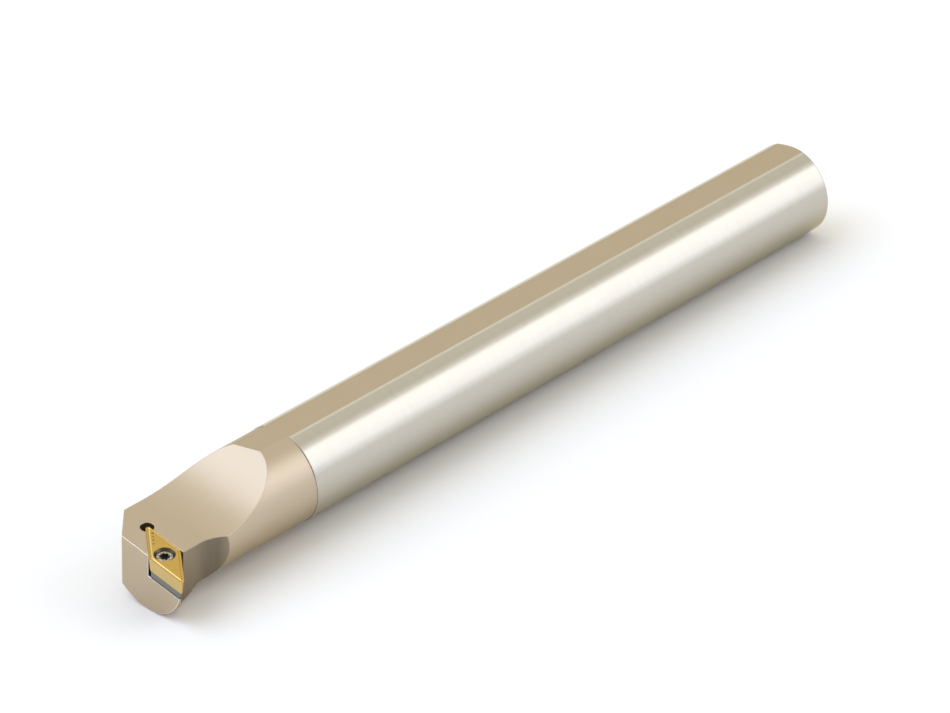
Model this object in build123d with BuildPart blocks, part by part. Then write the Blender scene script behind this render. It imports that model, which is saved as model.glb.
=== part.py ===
# Right-hand boring bar for internal turning, with a screwed-on 35 degree indexable insert.
#
# The bar lies along +X. The origin is the centre of its rear end face, the cutting tip is at
# (overall_length, tip_offset, 0), and +Z is up, out of the face of the insert.
# Lengths are in millimetres and angles in degrees.
from build123d import *
from math import cos, radians, sin, sqrt, tan
import os

# ---------------------------------------------------------------- driving dimensions
# Bar: ground shank, plated neck, head
overall_length = 300.0       # rear face to cutting tip
shank_diameter = 32.0
height_over_flats = 30.0
ground_length = 239.0        # bright ground stretch, from the rear face
neck_diameter = 31.6         # turned and plated, a little under the ground shank
rear_chamfer = 1.2
tip_offset = 22.0            # bar axis to cutting tip
head_diameter = 36.2
head_offset = 2.5            # head turned off centre, towards the tip
head_length = 6.4            # full-diameter stretch behind the tip
flare_radius = 13.0          # hollow between neck and head
bottom_flat_runout = 15.0    # where the lower flat stops short of the tip

# Rake face of the head, and the dish that sweeps up from it to the top flat
radial_rake = 9.3            # the seat tips down towards the cutting tip
dish_start = 18.0            # behind the tip
dish_radius = 47.0
dish_sweep = 62.0            # angle that the dish turns through

# Sides of the head, measured on the rake face
approach_overhang = 3.0      # front edge trails 3 degrees: a 93 degree approach
front_recess = 0.5           # head face behind the insert's front edge
front_relief = 2.0
corner_width = 28.3          # tip to the start of the corner cut
corner_angle = 45.0
flank_recess = 0.75          # head behind the insert's side edge
gullet_depth = 10.1          # hollow behind the insert, in from the tip
gullet_end = 27.05           # behind the tip
gullet_radius = 11.0

# Insert: 35 degree rhombus, two cutting corners
insert_angle = 35.0
inscribed_circle = 9.525
insert_thickness = 4.76
insert_clearance = 5.0
nose_radius = 0.8
insert_hole = 4.4
countersink_diameter = 6.6
countersink_angle = 60.0     # included angle
land_width = 0.16            # flat rim along the cutting edges
groove_run = 0.4             # slope from the rim down to the groove
groove_depth = 0.18
island_inset = 0.58          # edge of the middle plateau, in from the cutting edge
island_slope = 0.24

# Shim and the hollow screw that holds it
shim_thickness = 3.0
shim_inset = 0.7             # shim edge inside the insert's cutting edge
shim_corner_radius = 0.5
sleeve_diameter = 6.0
sleeve_head_diameter = 7.2
sleeve_head_angle = 90.0
sleeve_rim = 0.35
sleeve_reach = 6.2           # thread below the shim
hex_across_flats = 4.2
hex_depth = 2.6
hole_spare_depth = 0.6       # blind end of the tapped hole below the sleeve

# Insert screw
screw_diameter = 3.5
screw_length = 12.0
screw_head_diameter = 5.2
screw_head_rim = 0.3
lobe_circle = 1.27           # six-lobe recess
lobe_radius = 0.36
lobe_core_radius = 1.2
lobe_fillet = 0.2
lobe_depth = 1.3
screw_end_chamfer = 0.4

# Fits
seat_clearance = 0.05        # insert and shim edges to the pocket walls
thread_clearance = 0.05      # on the radius
cone_clearance = 0.04        # on the radius
corner_relief_radius = 2.2   # hole at the blind corner of the pocket
corner_relief_back = 1.8     # its centre, in from the insert's sharp corner
overcut = 5.0                # how far cutters run past the material

os.makedirs("parts", exist_ok=True)

# ---------------------------------------------------------------- shared geometry
shank_radius = shank_diameter / 2
neck_radius = neck_diameter / 2
head_radius = head_diameter / 2
flat_height = height_over_flats / 2
pocket_depth = insert_thickness + shim_thickness
reach = shank_diameter + tip_offset          # longer than any cut across the head

# The rake face: local x runs forward, local y towards the tip side, local z out of the insert
tip = Vector(overall_length, tip_offset, 0)
seat = Plane(tip, x_dir=(1, 0, 0), z_dir=(0, sin(radians(radial_rake)), cos(radians(radial_rake))))


def on_seat(angle):
    """Unit vector in the rake face, turned by angle from straight across the bar."""
    return Vector(-sin(radians(angle)), -cos(radians(angle)))


def square_to(direction):
    """In-plane unit vector at right angles to a direction on the rake face."""
    return Vector(-direction.Y, direction.X)


def in_space(direction):
    """A direction on the rake face, as a direction in space."""
    return seat.from_local_coords(direction) - seat.origin


# Insert corners on the rake face. The nose circle touches both the front and the tip side.
edge_length = inscribed_circle / sin(radians(insert_angle))
front_dir = on_seat(approach_overhang)                       # cutting corner to front corner
side_dir = on_seat(approach_overhang + insert_angle)         # cutting corner to rear corner
long_dir = on_seat(approach_overhang + insert_angle / 2)     # along the long diagonal
long_half = edge_length * cos(radians(insert_angle / 2))
nose_centre = Vector(-nose_radius, -nose_radius)
cutting_corner = nose_centre - long_dir * (nose_radius / sin(radians(insert_angle / 2)))
blind_corner = cutting_corner + long_dir * (2 * long_half)
insert_centre = cutting_corner + long_dir * long_half

# Planes across the insert's axis, with x along its long diagonal towards the cutting corner
insert_top = Plane(seat.from_local_coords(insert_centre), x_dir=-in_space(long_dir), z_dir=seat.z_dir)
shim_top = insert_top.offset(-insert_thickness)
pocket_floor = insert_top.offset(-pocket_depth)

# Half-section through the insert's axis: local x is the radius, local y the height above the shim
insert_axis = Plane(shim_top.origin, x_dir=shim_top.x_dir, z_dir=-shim_top.y_dir)


def rhombus(inset, corner_radius=nose_radius):
    """Insert outline at a distance inside the cutting edge, with rounded corners."""
    circle = inscribed_circle / 2 - inset
    half_long = circle / sin(radians(insert_angle / 2))
    half_short = circle / cos(radians(insert_angle / 2))
    with BuildSketch(mode=Mode.PRIVATE) as outline:
        with BuildLine():
            Polyline((half_long, 0), (0, half_short), (-half_long, 0), (0, -half_short), close=True)
        make_face()
        fillet(outline.vertices(), max(corner_radius - inset, corner_radius / 4))
    return outline.sketch


# ---------------------------------------------------------------- bar
# One piece of steel: turned blank, two flats, then the head milled square to the rake face.
root_radius = neck_radius - head_offset                      # where the flare meets the neck
flare_rise = head_radius - root_radius
flare_run = sqrt(flare_radius**2 - (flare_radius - flare_rise) ** 2)
flare_front = overall_length - head_length
flare_back = flare_front - flare_run

with BuildPart() as bar:
    with BuildSketch(Plane.YZ):
        Circle(shank_radius)
    extrude(amount=ground_length)
    chamfer(bar.faces().sort_by(Axis.X)[0].edges(), rear_chamfer)
    with BuildSketch(Plane.YZ.offset(ground_length)):
        Circle(neck_radius)
    extrude(amount=flare_front - ground_length)

    # Off-centre head, joined to the neck by a hollow flare
    with BuildSketch():
        with BuildLine():
            Polyline(
                (flare_back, head_offset + root_radius),
                (flare_back, head_offset),
                (overall_length, head_offset),
                (overall_length, head_offset + head_radius),
                (flare_front, head_offset + head_radius),
            )
            RadiusArc(
                (flare_front, head_offset + head_radius),
                (flare_back, head_offset + root_radius),
                -flare_radius,
            )
        make_face()
    revolve(axis=Axis((0, head_offset, 0), (1, 0, 0)))

    # Flats: the upper one runs out into the dish, the lower one stops at the head
    with BuildSketch(Plane.XY.offset(flat_height)):
        Rectangle(overall_length, 2 * reach, align=(Align.MIN, Align.CENTER))
    extrude(amount=reach, mode=Mode.SUBTRACT)
    with BuildSketch(Plane.XY.offset(-flat_height)):
        Rectangle(overall_length - bottom_flat_runout, 2 * reach, align=(Align.MIN, Align.CENTER))
    extrude(amount=-reach, mode=Mode.SUBTRACT)

    # Rake face, and the dish that sweeps up from it
    with BuildSketch(Plane(tip, x_dir=(-1, 0, 0), z_dir=seat.y_dir)):
        with BuildLine():
            dish = JernArc((dish_start, 0), (1, 0), dish_radius, dish_sweep)
            Polyline(dish @ 1, (-overcut, (dish @ 1).Y), (-overcut, 0), (dish_start, 0))
        make_face()
    extrude(amount=reach, both=True, mode=Mode.SUBTRACT)

    # Front face, along the insert's front edge and leaning back below it
    front_origin = seat.from_local_coords(cutting_corner)
    lean = reach * tan(radians(front_relief))
    with BuildSketch(Plane(front_origin, x_dir=in_space(square_to(front_dir)), z_dir=in_space(front_dir))):
        with BuildLine():
            Polyline(
                (lean - front_recess, reach),
                (-lean - front_recess, -reach),
                (reach, -reach),
                (reach, reach),
                close=True,
            )
        make_face()
    extrude(amount=reach, both=True, mode=Mode.SUBTRACT)

    # Corner cut, square to the rake face
    corner_start = Vector(-front_recess, 0) + front_dir * corner_width
    corner_dir = on_seat(corner_angle)
    corner_near = corner_start - corner_dir * overcut
    corner_far = corner_start + corner_dir * reach
    with BuildSketch(seat.offset(-reach)):
        with BuildLine():
            Polyline(
                (corner_near.X, corner_near.Y),
                (corner_far.X, corner_far.Y),
                (corner_near.X + reach, corner_far.Y),
                (corner_near.X + reach, corner_near.Y),
                close=True,
            )
        make_face()
    extrude(amount=2 * reach, mode=Mode.SUBTRACT)

    # Flank under the insert's side edge, and the gullet behind it
    flank_start = cutting_corner + square_to(side_dir) * flank_recess
    flank_run = (gullet_depth + flank_start.Y) / -side_dir.Y
    flank_end = flank_start + side_dir * flank_run
    flank_near = flank_start - side_dir * overcut
    curl_start = (gullet_radius - gullet_end, flank_end.Y)
    with BuildSketch(seat.offset(-reach)):
        with BuildLine():
            Polyline((flank_near.X, flank_near.Y), (flank_end.X, flank_end.Y), curl_start)
            curl = JernArc(curl_start, (-1, 0), gullet_radius, -90)
            Polyline(
                curl @ 1, (-gullet_end, reach), (flank_near.X, reach), (flank_near.X, flank_near.Y)
            )
        make_face()
    extrude(amount=2 * reach, mode=Mode.SUBTRACT)

    # Insert pocket: two walls that meet in a relief hole at the blind corner
    blind_wall = blind_corner + long_dir * (seat_clearance / sin(radians(insert_angle / 2)))
    left_wall = blind_wall - side_dir * (edge_length + reach)
    back_wall = blind_wall - front_dir * (edge_length + reach)
    with BuildSketch(seat):
        with BuildLine():
            Polyline(
                (blind_wall.X, blind_wall.Y),
                (left_wall.X, left_wall.Y),
                (back_wall.X, back_wall.Y),
                close=True,
            )
        make_face()
    extrude(amount=-pocket_depth, mode=Mode.SUBTRACT)
    relief_centre = blind_corner - long_dir * corner_relief_back
    with BuildSketch(seat):
        with Locations((relief_centre.X, relief_centre.Y)):
            Circle(corner_relief_radius)
    extrude(amount=-pocket_depth, mode=Mode.SUBTRACT)

    # Tapped hole for the hollow screw
    with BuildSketch(pocket_floor):
        Circle(sleeve_diameter / 2 + thread_clearance)
    extrude(amount=-(sleeve_reach + hole_spare_depth), mode=Mode.SUBTRACT)

bar.part.label = "bar"
export_step(bar.part, "parts/bar.step")

# ---------------------------------------------------------------- shim
# Carbide plate under the insert, with a countersunk hole for the hollow screw.
sleeve_radius = sleeve_diameter / 2
sleeve_head_radius = sleeve_head_diameter / 2
sleeve_cone = (sleeve_head_radius - sleeve_radius) / tan(radians(sleeve_head_angle / 2))

with BuildPart() as shim:
    with BuildSketch(pocket_floor):
        add(rhombus(shim_inset, shim_corner_radius + shim_inset))
    extrude(amount=shim_thickness)
    with BuildSketch(pocket_floor):
        Circle(sleeve_radius + thread_clearance)
    extrude(amount=shim_thickness, mode=Mode.SUBTRACT)
    with BuildSketch(insert_axis):
        with BuildLine():
            Polyline(
                (0, 0),
                (sleeve_head_radius + cone_clearance, 0),
                (sleeve_head_radius + cone_clearance, -sleeve_rim),
                (sleeve_radius + cone_clearance, -sleeve_rim - sleeve_cone),
                (0, -sleeve_rim - sleeve_cone),
                close=True,
            )
        make_face()
    revolve(axis=Axis(shim_top.origin, shim_top.z_dir), mode=Mode.SUBTRACT)

shim.part.label = "shim"
export_step(shim.part, "parts/shim.step")

# ---------------------------------------------------------------- shim screw
# Hollow screw: a hexagon socket above, and below it the thread that the insert screw bites in.
sleeve_length = shim_thickness + sleeve_reach

with BuildPart() as shim_screw:
    with BuildSketch(insert_axis):
        with BuildLine():
            Polyline(
                (0, 0),
                (sleeve_head_radius, 0),
                (sleeve_head_radius, -sleeve_rim),
                (sleeve_radius, -sleeve_rim - sleeve_cone),
                (sleeve_radius, -sleeve_length),
                (0, -sleeve_length),
                close=True,
            )
        make_face()
    revolve(axis=Axis(shim_top.origin, shim_top.z_dir))
    with BuildSketch(shim_top):
        RegularPolygon(hex_across_flats / 2, 6, major_radius=False)
    extrude(amount=-hex_depth, mode=Mode.SUBTRACT)
    with BuildSketch(shim_top):
        Circle(screw_diameter / 2 + thread_clearance)
    extrude(amount=-sleeve_length, mode=Mode.SUBTRACT)

shim_screw.part.label = "shim_screw"
export_step(shim_screw.part, "parts/shim_screw.step")

# ---------------------------------------------------------------- insert
# Coated carbide: relieved sides, a groove inside the cutting edge, and a plateau round the hole.
hole_radius = insert_hole / 2
cone_slope = tan(radians(countersink_angle / 2))
countersink_depth = (countersink_diameter / 2 - hole_radius) / cone_slope

with BuildPart() as insert:
    for inset, depth in ((0, 0), (insert_thickness * tan(radians(insert_clearance)), insert_thickness)):
        with BuildSketch(insert_top.offset(-depth)):
            add(rhombus(inset))
    loft()
    for inset, depth in ((land_width, 0), (land_width + groove_run, groove_depth)):
        with BuildSketch(insert_top.offset(-depth)):
            add(rhombus(inset))
    loft(mode=Mode.SUBTRACT)
    for inset, depth in ((island_inset, groove_depth), (island_inset + island_slope, 0)):
        with BuildSketch(insert_top.offset(-depth)):
            add(rhombus(inset))
    loft()
    with BuildSketch(insert_axis):
        with BuildLine():
            Polyline(
                (0, insert_thickness),
                (countersink_diameter / 2, insert_thickness),
                (hole_radius, insert_thickness - countersink_depth),
                (hole_radius, 0),
                (0, 0),
                close=True,
            )
        make_face()
    revolve(axis=Axis(shim_top.origin, shim_top.z_dir), mode=Mode.SUBTRACT)

insert.part.label = "insert"
export_step(insert.part, "parts/insert.step")

# ---------------------------------------------------------------- insert screw
# Countersunk six-lobe screw: its cone seats in the insert's countersink.
screw_radius = screw_diameter / 2
head_radius_top = screw_head_diameter / 2
seat_height = insert_thickness - (countersink_diameter / 2 - cone_clearance - head_radius_top) / cone_slope
screw_top = seat_height + screw_head_rim
cone_end = seat_height - (head_radius_top - screw_radius) / cone_slope
screw_end = screw_top - screw_length

with BuildPart() as insert_screw:
    with BuildSketch(insert_axis):
        with BuildLine():
            Polyline(
                (0, screw_top),
                (head_radius_top, screw_top),
                (head_radius_top, seat_height),
                (screw_radius, cone_end),
                (screw_radius, screw_end + screw_end_chamfer),
                (screw_radius - screw_end_chamfer, screw_end),
                (0, screw_end),
                close=True,
            )
        make_face()
    revolve(axis=Axis(shim_top.origin, shim_top.z_dir))
    with BuildSketch(shim_top.offset(screw_top)) as recess:
        Circle(lobe_core_radius)
        with PolarLocations(lobe_circle, 6):
            Circle(lobe_radius)
        fillet(recess.vertices(), lobe_fillet)
    extrude(amount=-lobe_depth, mode=Mode.SUBTRACT)

insert_screw.part.label = "insert_screw"
export_step(insert_screw.part, "parts/insert_screw.step")
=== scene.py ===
# %% [markdown]
# A boring bar turns the inside of a bore on a lathe. This one is a round steel bar with two long
# flats, a dished head, and a small golden carbide insert held by one screw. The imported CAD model
# gives every piece its true shape and place, so it is loaded first and never moved.

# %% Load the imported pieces
import bpy
from math import atan2, cos, degrees, pi, radians, sin
from mathutils import Matrix, Vector


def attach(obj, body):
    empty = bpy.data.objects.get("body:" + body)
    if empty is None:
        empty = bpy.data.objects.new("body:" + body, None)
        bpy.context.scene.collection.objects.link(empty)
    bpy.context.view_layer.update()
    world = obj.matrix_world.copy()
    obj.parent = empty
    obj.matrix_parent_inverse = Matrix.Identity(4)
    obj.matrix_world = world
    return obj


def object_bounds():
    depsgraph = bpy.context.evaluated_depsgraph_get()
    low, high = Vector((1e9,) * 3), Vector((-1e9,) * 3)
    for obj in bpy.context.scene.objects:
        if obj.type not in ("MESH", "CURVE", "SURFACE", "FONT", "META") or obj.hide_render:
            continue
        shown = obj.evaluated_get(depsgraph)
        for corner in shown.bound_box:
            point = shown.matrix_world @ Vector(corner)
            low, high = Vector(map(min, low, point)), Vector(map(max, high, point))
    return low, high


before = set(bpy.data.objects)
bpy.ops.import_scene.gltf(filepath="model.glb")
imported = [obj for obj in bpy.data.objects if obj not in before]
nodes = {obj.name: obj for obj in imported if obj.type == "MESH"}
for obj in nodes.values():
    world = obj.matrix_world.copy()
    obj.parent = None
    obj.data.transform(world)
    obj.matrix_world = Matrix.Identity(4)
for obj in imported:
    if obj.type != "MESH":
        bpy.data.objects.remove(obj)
cad_low, cad_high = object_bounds()
print("pieces:", sorted(nodes), "box:", [round(v * 1000, 1) for v in (*cad_low, *cad_high)], "mm")

# %% [markdown]
# The view is the first thing to settle, because every finish is judged through it. A long lens
# keeps the far end of the bar nearly as thick as the near end. The camera's axes are written down
# as they were worked out from the bar's own edges, and its position is in metres.

# %% Camera
MM = 0.001
VIEW_RIGHT = Vector((-0.697824, 0.712468, -0.073699))
VIEW_UP = Vector((-0.390493, -0.292161, 0.873016))
VIEW_BACK = Vector((0.600464, 0.637990, 0.482091))
VIEW_PLACE = Vector((931.146, 825.140, 626.546)) * MM
FILM_WIDTH, LENS = 36, 155.2
NEAREST, FARTHEST = 0.05, 50

camera_data = bpy.data.cameras.new("camera")
camera_data.sensor_fit = "HORIZONTAL"
camera_data.sensor_width = FILM_WIDTH
camera_data.lens = LENS
camera_data.clip_start = NEAREST
camera_data.clip_end = FARTHEST
camera = bpy.data.objects.new("camera", camera_data)
bpy.context.scene.collection.objects.link(camera)
view_axes = Matrix((VIEW_RIGHT, VIEW_UP, VIEW_BACK)).transposed().to_4x4()
camera.matrix_world = Matrix.Translation(VIEW_PLACE) @ view_axes
bpy.context.scene.camera = camera
print("camera is", round((VIEW_PLACE - (cad_low + cad_high) / 2).length, 3), "m from the bar's middle")

# %% [markdown]
# Shader maths reads best as plain expressions. This small class wraps one socket of a node tree:
# + - * / on it add Math nodes, and its node() method adds any other node, with its settings first.

# %% Helper: shader sockets as Python values
class Wire:
    def __init__(self, tree, socket):
        self.tree = tree
        self.socket = socket

    @classmethod
    def node(cls, tree, kind, settings=None, inputs=None, out=0):
        made = tree.nodes.new(kind)
        for name, value in (settings or {}).items():
            setattr(made, name, value)
        for name, value in (inputs or {}).items():
            if isinstance(value, Wire):
                tree.links.new(value.socket, made.inputs[name])
            else:
                made.inputs[name].default_value = value
        return cls(tree, made.outputs[out])

    def math(self, operation, a, b=0.0, c=0.0):
        return Wire.node(self.tree, "ShaderNodeMath", {"operation": operation}, {0: a, 1: b, 2: c})

    def __add__(self, other):
        return self.math("ADD", self, other)

    def __radd__(self, other):
        return self.math("ADD", other, self)

    def __sub__(self, other):
        return self.math("SUBTRACT", self, other)

    def __rsub__(self, other):
        return self.math("SUBTRACT", other, self)

    def __mul__(self, other):
        return self.math("MULTIPLY", self, other)

    def __rmul__(self, other):
        return self.math("MULTIPLY", other, self)

    def __truediv__(self, other):
        return self.math("DIVIDE", self, other)

    def __abs__(self):
        return self.math("ABSOLUTE", self)


print("Wire wraps one socket of a node tree")

# %% [markdown]
# Every finish below starts the same way: a new material, the coordinates of the piece, and masks
# that are 1 in one region and 0 elsewhere. Object coordinates are used throughout, because they
# stay with the piece from whatever side it is seen. Soft steps keep the borders from looking cut.

# %% Helper: materials, coordinates and masks
def new_finish(name):
    """A fresh material, its tree and its Principled shader."""
    finish = bpy.data.materials.new(name)
    finish.use_nodes = True
    return finish, finish.node_tree, finish.node_tree.nodes["Principled BSDF"]


def feed(tree, shader, **sockets):
    """Links or sets the named sockets of a Principled shader; _ stands for a space."""
    for name, value in sockets.items():
        socket = shader.inputs[name.replace("_", " ")]
        if isinstance(value, Wire):
            tree.links.new(value.socket, socket)
        else:
            socket.default_value = value


def wear(finish, *names):
    """Gives the named pieces this finish."""
    for name in names:
        for slot in nodes[name].material_slots:
            slot.material = finish


def places(tree):
    """Object coordinates, whole and as x, y, z, in metres."""
    whole = Wire.node(tree, "ShaderNodeTexCoord", out="Object")
    parts = [Wire.node(tree, "ShaderNodeSeparateXYZ", inputs={0: whole}, out=i) for i in range(3)]
    return (whole, *parts)


def ramp_step(value, low, high):
    """0 below low, 1 above high, smooth between."""
    return Wire.node(value.tree, "ShaderNodeMapRange", {"interpolation_type": "SMOOTHSTEP"},
                     {"Value": value, "From Min": low, "From Max": high})


def drop_step(value, low, high):
    """1 below low, 0 above high, smooth between."""
    return 1 - ramp_step(value, low, high)


def distance(a, b):
    """Length of the step that is a one way and b square to it."""
    return a.math("SQRT", a * a + b * b)


def blend_colours(mask, a, b):
    """Colour a where the mask is 0, b where it is 1."""
    return Wire.node(mask.tree, "ShaderNodeMix", {"data_type": "RGBA"},
                     {"Factor": mask, "A": a, "B": b}, out=2)


def noise(tree, where, scale, detail=3.0, roughness=0.5):
    """Cloudy values round one half, with about scale features to the metre."""
    return Wire.node(tree, "ShaderNodeTexNoise", inputs={
        "Vector": where, "Scale": scale, "Detail": detail, "Roughness": roughness})


def stretched(tree, where, x=1.0, y=1.0, z=1.0):
    """Coordinates that change slowly along each axis whose factor is small."""
    return Wire.node(tree, "ShaderNodeMapping", inputs={"Vector": where, "Scale": (x, y, z)})


def soft_edges(tree, radius, samples):
    """Normals that run smoothly round each edge, as if it were rounded to this radius."""
    return Wire.node(tree, "ShaderNodeBevel", {"samples": samples}, {"Radius": radius})


print("helpers ready: finish, coordinates, masks, colours, noise")

# %% [markdown]
# The bar has two finishes on one piece of steel. The whole blank is plated with satin nickel, which
# has a warm tan tone. Then the round shank is ground to size, which cuts the plating away and
# leaves bright silver steel. One material does both: a mask says where the ground cylinder is.

# %% Bar: where the ground shank is
SHANK_RADIUS = 16.0 * MM
FLAT_HEIGHT = 15.0 * MM
GROUND_END = 239.0 * MM
REAR_CHAMFER = 1.2 * MM

bar_finish, tree, shader = new_finish("plated_and_ground_steel")
where, x, y, z = places(tree)
round_wall = ramp_step(distance(y, z), SHANK_RADIUS - 0.14 * MM, SHANK_RADIUS - 0.08 * MM)
off_the_flats = drop_step(abs(z), FLAT_HEIGHT - 0.015 * MM, FLAT_HEIGHT - 0.005 * MM)
behind_the_neck = drop_step(x, GROUND_END - 0.02 * MM, GROUND_END + 0.02 * MM)
past_the_chamfer = ramp_step(x, REAR_CHAMFER - 0.05 * MM, REAR_CHAMFER + 0.05 * MM)
ground = round_wall * off_the_flats * behind_the_neck * past_the_chamfer
print("ground from", round(REAR_CHAMFER / MM, 2), "to", round(GROUND_END / MM, 1), "mm")

# %% [markdown]
# The head is milled square to the rake face, which is the tilted plane that the insert's top lies
# in. Masks on the head are simple in that plane's own coordinates: u runs forward from the cutting
# tip, v runs across, and out rises from the plane, all in millimetres. The sharp corner where the
# insert's front and side edges would meet, and the screw at its middle, follow from its sizes.

# %% Helper: coordinates on the rake face
TIP = Vector((300, 22, 0))
RAKE = radians(9.3)
LEAD = radians(3)
CORNER = radians(35)
CIRCLE = 9.525
NOSE_RADIUS = 0.8

long_way = LEAD + CORNER / 2
nose_reach = NOSE_RADIUS / sin(CORNER / 2)
half_long = CIRCLE / 2 / sin(CORNER / 2)
SHARP_U = nose_reach * sin(long_way) - NOSE_RADIUS
SHARP_V = nose_reach * cos(long_way) - NOSE_RADIUS
SCREW_U = SHARP_U - half_long * sin(long_way)
SCREW_V = SHARP_V - half_long * cos(long_way)


def on_rake_face(x, y, z):
    """Millimetres forward of the tip, across from it, and out of the tilted rake face."""
    x, y, z = x / MM - TIP.x, y / MM - TIP.y, z / MM - TIP.z
    return x, y * cos(RAKE) - z * sin(RAKE), y * sin(RAKE) + z * cos(RAKE)


def from_edges(u, v):
    """Distances in from the insert's front and side edges."""
    return ((v - SHARP_V) * sin(LEAD) - (u - SHARP_U) * cos(LEAD),
            (u - SHARP_U) * cos(LEAD + CORNER) - (v - SHARP_V) * sin(LEAD + CORNER))


print("sharp corner at u, v", round(SHARP_U, 3), round(SHARP_V, 3), "mm")
print("screw at u, v", round(SCREW_U, 3), round(SCREW_V, 3), "mm")

# %% [markdown]
# Behind the insert a cutter has milled a hollow, the gullet, where chips can clear. It gets a painted
# shade, darker than the rest of the head. Its wall is a quarter of a cylinder that runs on into a
# flat, so the mask is nearness to that circle, or to that line past its end.

# %% Bar: where the gullet is
GULLET_DEPTH = 10.1
GULLET_END = 27.05
GULLET_RADIUS = 11.0
GULLET_FRONT = -7.5
WALL_NEAR, WALL_FAR = 0.12, 0.18

u, v, out = on_rake_face(x, y, z)
curl_u = GULLET_RADIUS - GULLET_END
curl_v = GULLET_RADIUS - GULLET_DEPTH
from_curl = distance(u - curl_u, v - curl_v) - GULLET_RADIUS
from_floor = v + GULLET_DEPTH
behind_curl_start = drop_step(u, curl_u - 0.05, curl_u + 0.05)
on_curl = behind_curl_start * drop_step(abs(from_curl), WALL_NEAR, WALL_FAR)
on_floor = (1 - behind_curl_start) * drop_step(u, GULLET_FRONT - 0.5, GULLET_FRONT)
on_floor = on_floor * drop_step(abs(from_floor), WALL_NEAR, WALL_FAR)
gullet = on_curl + on_floor
print("gullet curls round", round(curl_u, 2), round(curl_v, 2), "with radius", GULLET_RADIUS, "mm")

# %% [markdown]
# Plating is never quite even, so its tan wanders a little from place to place. Grinding leaves fine
# lines round the shank: noise that changes quickly along the bar and slowly round it. In the gullet
# the painted shade is strongest in its middle, and faint mill marks run up the wall within it.

# %% Bar: colours of plate and ground steel, and painted shade in the gullet
PLATE_DARK, PLATE_LIGHT = (0.535, 0.443, 0.328, 1), (0.566, 0.472, 0.354, 1)
STEEL_DARK, STEEL_LIGHT = (0.522, 0.492, 0.422, 1), (0.558, 0.528, 0.458, 1)
GULLET_PAINTED_SHADE = (0.10, 0.085, 0.06, 1)

plate_cloud = noise(tree, where, 90, detail=4)
plate_colour = blend_colours(plate_cloud, PLATE_DARK, PLATE_LIGHT)
grind_bands = noise(tree, stretched(tree, where, y=0.05, z=0.05), 500)
steel_colour = blend_colours(grind_bands, STEEL_DARK, STEEL_LIGHT)
base = blend_colours(ground, plate_colour, steel_colour)

mill_marks = noise(tree, stretched(tree, where, z=0.02), 900)
# Painted shade: the gullet's colour is darkened toward a dark brown, most in its middle.
behind_the_middle = drop_step(u, -20.0, -14.0)
at_the_end = drop_step(u, -25.5, -22.0)
painted_gullet_shade = 0.44 + 0.24 * behind_the_middle - 0.28 * at_the_end + 0.1 * mill_marks
base = blend_colours(gullet * painted_gullet_shade, base, GULLET_PAINTED_SHADE)
print("bar colours: plate, steel and gullet")

# %% [markdown]
# Real edges are slightly broken and catch the light. The solids have sharp ones, so a painted
# highlight stands in: the bevel node finds the edges, where its rounded normal leaves the face's own
# normal. The pocket's lip under the shim gets a painted highlight of its own, which is brighter. A
# painted highlight runs where the flats cut the ground shank, and painted shade makes a thin dark
# line at the small step where grinding stops at the neck.

# %% Bar: painted highlights on edges and crease, painted shade line at the neck
EDGE_RADIUS = 0.35 * MM
EDGE_PAINTED_HIGHLIGHT = (0.97, 0.93, 0.86, 1)
EDGE_HIGHLIGHT_MOST = 0.9
CREASE_PAINTED_HIGHLIGHT = (0.88, 0.86, 0.80, 1)
BORDER_PAINTED_SHADE = (0.14, 0.11, 0.08, 1)
HEAD_EDGES_BACK, HEAD_EDGES_FRONT = -3.0, -2.4

# Painted highlight: a pale line along the crease where the flats cut the ground shank.
crease_highlight = ground * ramp_step(abs(z), FLAT_HEIGHT - 0.4 * MM, FLAT_HEIGHT - 0.2 * MM)
base = blend_colours(crease_highlight * 0.35, base, CREASE_PAINTED_HIGHLIGHT)

edge_normal = soft_edges(tree, EDGE_RADIUS, samples=8)
face_normal = Wire.node(tree, "ShaderNodeNewGeometry", out="Normal")
agreement = Wire.node(tree, "ShaderNodeVectorMath", {"operation": "DOT_PRODUCT"},
                      {0: edge_normal, 1: face_normal}, out="Value")
# Painted highlight: a pale colour near the edges, strongest on the head's front, and on the pocket's lip.
near_edge_highlight = ramp_step(1 - agreement, 0.005, 0.06)
from_front, from_side = from_edges(u, v)
lip_face = ramp_step(from_front, 0.5, 0.6) * drop_step(from_front, 0.9, 1.0)
lip_height = ramp_step(out, -8.2, -7.95) * drop_step(out, -7.7, -7.6)
pocket_lip_highlight = lip_face * lip_height * drop_step(from_side, CIRCLE, CIRCLE + 0.2)
edge_highlight_level = 0.15 + 0.7 * ramp_step(u, HEAD_EDGES_BACK, HEAD_EDGES_FRONT) + 0.35 * behind_the_neck
painted_edge_highlight = near_edge_highlight * edge_highlight_level + 0.85 * pocket_lip_highlight
base = blend_colours(painted_edge_highlight.math("MINIMUM", painted_edge_highlight, EDGE_HIGHLIGHT_MOST), base, EDGE_PAINTED_HIGHLIGHT)

# Painted shade: a thin dark line at the neck's step, on the tip's side of the bar only.
border = ramp_step(x, GROUND_END - 0.12 * MM, GROUND_END) * drop_step(x, GROUND_END, GROUND_END + 0.2 * MM)
on_tip_side = ramp_step(y, 0, 4 * MM)
base = blend_colours(border * off_the_flats * on_tip_side * 0.6, base, BORDER_PAINTED_SHADE)
print("edges softened to", round(EDGE_RADIUS / MM, 2), "mm in the shading")

# %% [markdown]
# Plated steel spreads the light, and ground steel reflects it in a tighter band. So the ground
# stretch is less rough, and its relief is fine lines instead of grain.

# %% Bar: roughness and relief
PLATE_ROUGHNESS = 0.42
GRIND_SMOOTHING = 0.235
WARM_GLANCE = (0.9, 0.86, 0.72, 1)

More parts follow.
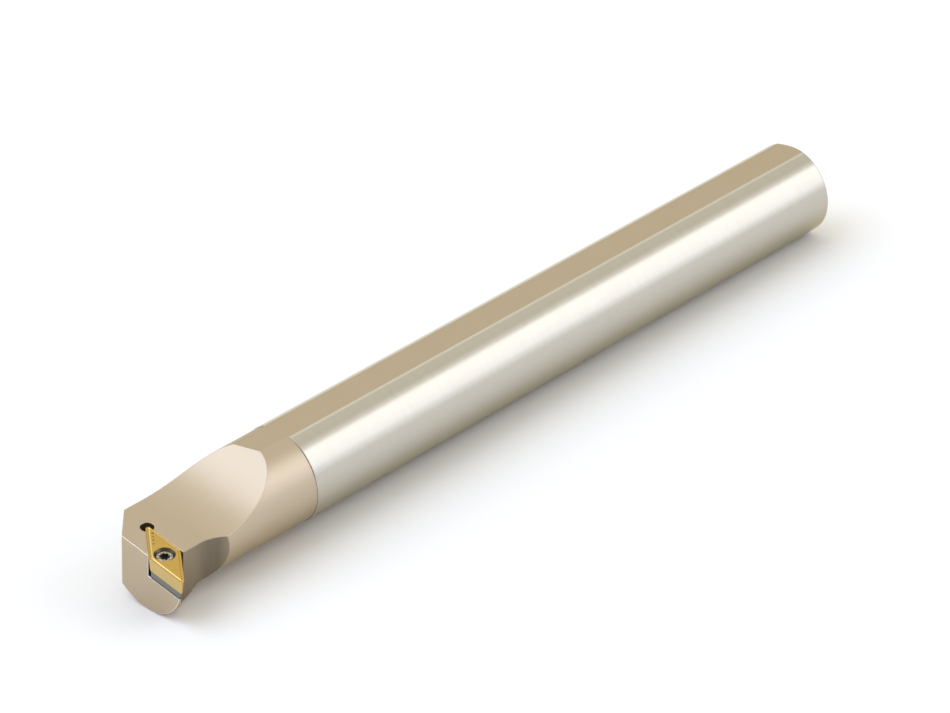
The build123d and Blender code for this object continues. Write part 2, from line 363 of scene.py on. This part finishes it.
plate_grain = noise(tree, where, 9000, detail=2)
grind_lines = noise(tree, stretched(tree, where, y=0.02, z=0.02), 6000, detail=4, roughness=0.6)
height = ground * grind_lines * 0.35 + (1 - ground) * plate_grain
relief = Wire.node(tree, "ShaderNodeBump", inputs={
    "Strength": 0.12, "Distance": 0.02 * MM, "Height": height, "Normal": edge_normal})
smoothing = ground * (GRIND_SMOOTHING - 0.05 * grind_bands)
roughness = PLATE_ROUGHNESS + (plate_cloud - 0.5) * 0.06 - smoothing
feed(tree, shader, Base_Color=base, Metallic=1.0, Specular_Tint=WARM_GLANCE, Normal=relief,
     Roughness=roughness)
wear(bar_finish, "bar")
print("bar finish has", len(tree.nodes), "nodes")

# %% [markdown]
# The insert is sintered carbide with a golden nitride coating. Its top carries a chip groove and its
# flanks turn other ways, so regions get painted light and shade: the front flank lighter, the side
# flank and the back land darker, and a painted highlight along the groove's crest. The regions are
# found as distances in from the four edges: front and side meet at the cutting corner, left and back
# at the far one.

# %% Insert: regions of the top and the flanks
CREST_INSET, CREST_CORNER, LEFT_SHIFT = 0.75, 1.4, 0.3
COUNTERSINK_EDGE = 3.2

insert_finish, tree, shader = new_finish("golden_nitride_coating")
where, x, y, z = places(tree)
u, v, out = on_rake_face(x, y, z)
from_front, from_side = from_edges(u, v)
from_left, from_back = CIRCLE - from_side, CIRCLE - from_front
on_top = ramp_step(out, -0.4, -0.3)
crest_place = u.math("SMOOTH_MIN", from_left - LEFT_SHIFT, from_front, CREST_CORNER)
crest_highlight = on_top * drop_step(abs(crest_place - CREST_INSET), 0.05, 0.24)
shaded_back_land = on_top * drop_step(from_back, 0.6, 0.8)
lit_front_flank = (1 - on_top) * ramp_step(from_side, 0.3, 0.8)
shaded_side_flank = (1 - on_top) * drop_step(from_side, 0.3, 0.8)
from_screw = distance(u - SCREW_U, v - SCREW_V)
countersink = drop_step(from_screw, COUNTERSINK_EDGE, COUNTERSINK_EDGE + 0.1)
print("insert regions: crest, back land, two flanks, countersink")

# %% [markdown]
# Near the insert's far corner stands a row of small round knobs. They are made further down, as a
# piece of their own. A little painted shade lies at their feet, so the same row of places is needed
# here: the distance along the left edge repeats itself once for each knob.

# %% Insert: painted shade at the feet of the knobs
KNOBS = 4
KNOB_START = 20.4
KNOB_PITCH = 1.7
KNOB_INSET = 1.9
KNOB_RADIUS = 0.3

along_left = (SHARP_U - u) * sin(LEAD + CORNER) + (SHARP_V - v) * cos(LEAD + CORNER)
along_row = along_left - KNOB_START + KNOB_PITCH / 2
along_one = along_row.math("MODULO", along_row, KNOB_PITCH) - KNOB_PITCH / 2
from_knob = distance(along_one, from_left - KNOB_INSET)
row_length = KNOB_PITCH * KNOBS
in_the_row = ramp_step(along_row, 0, 0.05) * drop_step(along_row, row_length - 0.05, row_length)
knob_feet_shade = on_top * in_the_row * drop_step(from_knob, KNOB_RADIUS, KNOB_RADIUS + 0.2)
print("row of", KNOBS, "feet,", round(row_length, 1), "mm long")

# %% [markdown]
# The colours are laid over one another, each where its mask is, so the last ones win. The coating is
# metallic, and a faint grain keeps it from looking like polished brass.

# %% Insert: colours and relief
COAT_DARK, COAT_LIGHT = (0.55, 0.345, 0.075, 1), (0.64, 0.42, 0.105, 1)
CREST_PAINTED_HIGHLIGHT = (0.98, 0.80, 0.48, 1)

coat_cloud = noise(tree, where, 700, detail=4)
coat_colour = blend_colours(coat_cloud, COAT_DARK, COAT_LIGHT)
crest_highlight_level = 0.42 + 0.25 * ramp_step(from_front, 0.9, 1.6)
# Painted light and shade: a lighter front flank, a darker side flank and back land, and a painted
# highlight on the crest.
for mask, colour in (
    (lit_front_flank * 0.8, (0.66, 0.485, 0.19, 1)),
    (shaded_side_flank * 0.6, (0.30, 0.21, 0.06, 1)),
    (shaded_back_land * 0.55, (0.34, 0.215, 0.04, 1)),
    (crest_highlight * crest_highlight_level, CREST_PAINTED_HIGHLIGHT),
    # Painted shade at the feet of the knobs.
    (knob_feet_shade * 0.6, (0.30, 0.20, 0.05, 1)),
    (countersink * 0.9, (0.13, 0.115, 0.08, 1)),
):
    coat_colour = blend_colours(mask, coat_colour, colour)
coat_grain = noise(tree, where, 12000, detail=2) * 0.3
relief = Wire.node(tree, "ShaderNodeBump", inputs={
    "Strength": 0.3, "Distance": 0.05 * MM, "Height": coat_grain,
    "Normal": soft_edges(tree, 0.12 * MM, samples=6)})
feed(tree, shader, Base_Color=coat_colour, Metallic=0.9, Normal=relief,
     Roughness=0.3 + (coat_cloud - 0.5) * 0.1)
wear(insert_finish, "insert")
print("insert finish has", len(tree.nodes), "nodes")

# %% [markdown]
# The knobs help to break the chip. One knob is a short drum whose top edge is rounded by a bevel,
# which is quick to shape in edit mode. It starts a little below the surface, so that no gap shows
# under it.

# %% Insert: one knob
KNOB_HEIGHT = 0.16
KNOB_SUNK = 0.1
KNOB_SIDES = 24
KNOB_ROUNDING = 0.13

bpy.ops.object.select_all(action="DESELECT")
bpy.ops.mesh.primitive_cylinder_add(
    vertices=KNOB_SIDES, radius=KNOB_RADIUS * MM, depth=(KNOB_HEIGHT + KNOB_SUNK) * MM,
    location=(0, 0, (KNOB_HEIGHT - KNOB_SUNK) / 2 * MM))
knob = bpy.context.object
bpy.ops.object.transform_apply(location=True, rotation=True, scale=True)
bpy.ops.object.mode_set(mode="EDIT")
bpy.ops.mesh.select_mode(type="FACE")
bpy.ops.mesh.select_all(action="DESELECT")
bpy.ops.object.mode_set(mode="OBJECT")
for face in knob.data.polygons:
    face.select = face.normal.z > 0.9
bpy.ops.object.mode_set(mode="EDIT")
bpy.ops.mesh.bevel(offset=KNOB_ROUNDING * MM, segments=4, affect="EDGES")
bpy.ops.object.mode_set(mode="OBJECT")
print("one knob:", len(knob.data.polygons), "faces")

# %% [markdown]
# The rest are copies, each with a mesh of its own and set square to the tilted rake face. Joined
# into one piece, they take the insert's finish and hang from the root body.

# %% Insert: row of chip-breaker knobs
rake_across = Vector((0, cos(RAKE), -sin(RAKE)))
rake_out = Vector((0, sin(RAKE), cos(RAKE)))
upright = rake_out.to_track_quat("Z", "Y").to_matrix().to_4x4()
inward = CIRCLE - KNOB_INSET
row = []
for count in range(KNOBS):
    along = KNOB_START + KNOB_PITCH * count
    spot_u = SHARP_U - along * sin(LEAD + CORNER) + inward * cos(LEAD + CORNER)
    spot_v = SHARP_V - along * cos(LEAD + CORNER) - inward * sin(LEAD + CORNER)
    spot = TIP + Vector((spot_u, 0, 0)) + rake_across * spot_v
    copy = knob.copy()
    copy.data = knob.data.copy()
    bpy.context.scene.collection.objects.link(copy)
    copy.matrix_world = Matrix.Translation(spot * MM) @ upright
    row.append(copy)
bpy.data.objects.remove(knob)

bpy.ops.object.select_all(action="DESELECT")
for copy in row:
    copy.select_set(True)
bpy.context.view_layer.objects.active = row[0]
bpy.ops.object.join()
knobs = bpy.context.object
knobs.name = "insert_knobs"
bpy.ops.object.transform_apply(location=True, rotation=True, scale=True)
bpy.ops.object.shade_smooth_by_angle(angle=radians(40))
knobs.data.materials.append(insert_finish)
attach(knobs, "root")
print("knobs:", len(knobs.data.polygons), "faces")

# %% [markdown]
# Under the insert lies the shim, a ground carbide plate without coating. It spares the pocket if the
# insert breaks. It is plain grey, and a dark foot stands for the shade down in the pocket.

# %% Shim: ground bare carbide
CARBIDE_DARK, CARBIDE_LIGHT = (0.19, 0.19, 0.175, 1), (0.235, 0.235, 0.22, 1)
FOOT_DARK = (0.07, 0.065, 0.06, 1)

shim_finish, tree, shader = new_finish("ground_carbide")
where, x, y, z = places(tree)
u, v, out = on_rake_face(x, y, z)
shim_cloud = noise(tree, where, 900, detail=4)
shim_colour = blend_colours(shim_cloud, CARBIDE_DARK, CARBIDE_LIGHT)
shim_foot = drop_step(out, -7.5, -6.7)
shim_colour = blend_colours(0.75 * shim_foot, shim_colour, FOOT_DARK)
feed(tree, shader, Base_Color=shim_colour, Metallic=1.0, Roughness=0.38)
wear(shim_finish, "shim")
print("shim finish has", len(tree.nodes), "nodes")

# %% [markdown]
# The screws are hardened and dark. The flat ring round the insert screw's recess gets patchy painted
# highlights, and the recess and the rim keep the dark steel colour. The mask is a ring round the axis.

# %% Screws: dark hardened steel with a painted highlight ring
RING_DARK, RING_PAINTED_HIGHLIGHT = (0.26, 0.24, 0.21, 1), (0.64, 0.60, 0.54, 1)
SCREW_DARK = (0.17, 0.16, 0.14, 1)

screw_finish, tree, shader = new_finish("dark_hardened_steel")
where, x, y, z = places(tree)
u, v, out = on_rake_face(x, y, z)
from_screw = distance(u - SCREW_U, v - SCREW_V)
# Painted highlight: a patchy bright ring round the insert screw's recess.
head_ring_highlight = ramp_step(from_screw, 1.55, 1.8) * drop_step(from_screw, 2.25, 2.45)
screw_cloud = noise(tree, where, 1500, detail=4)
screw_colour = blend_colours(ramp_step(screw_cloud, 0.42, 0.6), RING_DARK, RING_PAINTED_HIGHLIGHT)
screw_colour = blend_colours(1 - head_ring_highlight, screw_colour, SCREW_DARK)
feed(tree, shader, Base_Color=screw_colour, Metallic=1.0, Roughness=0.22,
     Normal=soft_edges(tree, 0.1 * MM, samples=6))
wear(screw_finish, "insert_screw", "shim_screw")
print("screw finish has", len(tree.nodes), "nodes")

# %% [markdown]
# The bar lies on a plain white floor. Its head is a little deeper than its flats, so it rests on the
# underside of the head and on the rear end of the lower flat, and the floor leans to suit.

# %% Floor
FLOOR_WHITE = (0.985, 0.98, 0.97, 1)
FLOOR_SIZE = 14
HEAD_REST = 293 * MM

bpy.ops.object.select_all(action="DESELECT")
rear_rest = Vector((0, 0, -FLAT_HEIGHT))
head_rest = Vector((HEAD_REST, 0, cad_low.z))
lean = atan2(rear_rest.z - head_rest.z, head_rest.x - rear_rest.x)
bpy.ops.mesh.primitive_plane_add(
    size=FLOOR_SIZE, location=(rear_rest + head_rest) / 2, rotation=(0, lean, 0))
floor = bpy.context.object
floor.name = "floor"
floor_finish, tree, shader = new_finish("white_floor")
feed(tree, shader, Base_Color=FLOOR_WHITE, Roughness=0.9, Specular_IOR_Level=0.0)
floor.data.materials.append(floor_finish)
print("floor leans", round(degrees(lean), 2), "degrees")

# %% [markdown]
# A polished cylinder shows its lamps as bright bands, so their width and place matter more than
# their power. Wide suns act as softboxes: one high at the head's end for the key, and two that
# overlap on the tip's side, so that the band they make is brightest in its middle.

# %% Softboxes
PALE = (0.92, 0.96, 1.12)
SKY = (0.84, 0.98, 1.34)


def soft_sun(name, towards, width, radiance, colour):
    """A distant round softbox: towards points at it, width is its angle across."""
    lamp = bpy.data.lights.new(name, "SUN")
    lamp.angle = radians(width)
    lamp.energy = radiance * pi * sin(radians(width / 2)) ** 2
    lamp.color = colour
    sun = bpy.data.objects.new(name, lamp)
    bpy.context.scene.collection.objects.link(sun)
    sun.rotation_mode = "QUATERNION"
    sun.rotation_quaternion = Vector(towards).to_track_quat("Z", "Y")
    return lamp.energy


suns = [
    soft_sun("key_softbox", (0.52, -0.43, 0.74), 64, 1.28, SKY),
    soft_sun("side_softbox", (-0.6, 0.742, 0.30), 58, 1.06, PALE),
    soft_sun("side_centre", (-0.6, 0.613, 0.514), 46, 0.34, PALE),
]
print("suns, W/m2:", [round(power, 2) for power in suns])

# %% [markdown]
# The world fills the shadows and is what the metal reflects where no softbox is. It is a little warm,
# and it is brighter overhead, towards the rear end and on the side away from the tip.

# %% World and view
WORLD_WARM = (1.03, 1.0, 0.89, 1)
WORLD_LEVEL = 0.36
WORLD_FALL = 0.2
WORLD_OVERHEAD = 0.55

world = bpy.data.worlds.new("studio")
bpy.context.scene.world = world
world.use_nodes = True
tree = world.node_tree
sky = Wire.node(tree, "ShaderNodeTexCoord", out="Generated")
along, across, up = (
    Wire.node(tree, "ShaderNodeSeparateXYZ", inputs={0: sky}, out=i) for i in range(3))
overhead = up.math("MAXIMUM", up, 0.0)
strength = WORLD_LEVEL - WORLD_FALL * across - WORLD_FALL * along + WORLD_OVERHEAD * overhead
background = tree.nodes["Background"]
background.inputs["Color"].default_value = WORLD_WARM
tree.links.new(strength.socket, background.inputs["Strength"])
bpy.context.scene.view_settings.view_transform = "Standard"
print("world strength overhead:", round(WORLD_LEVEL + WORLD_OVERHEAD, 2))
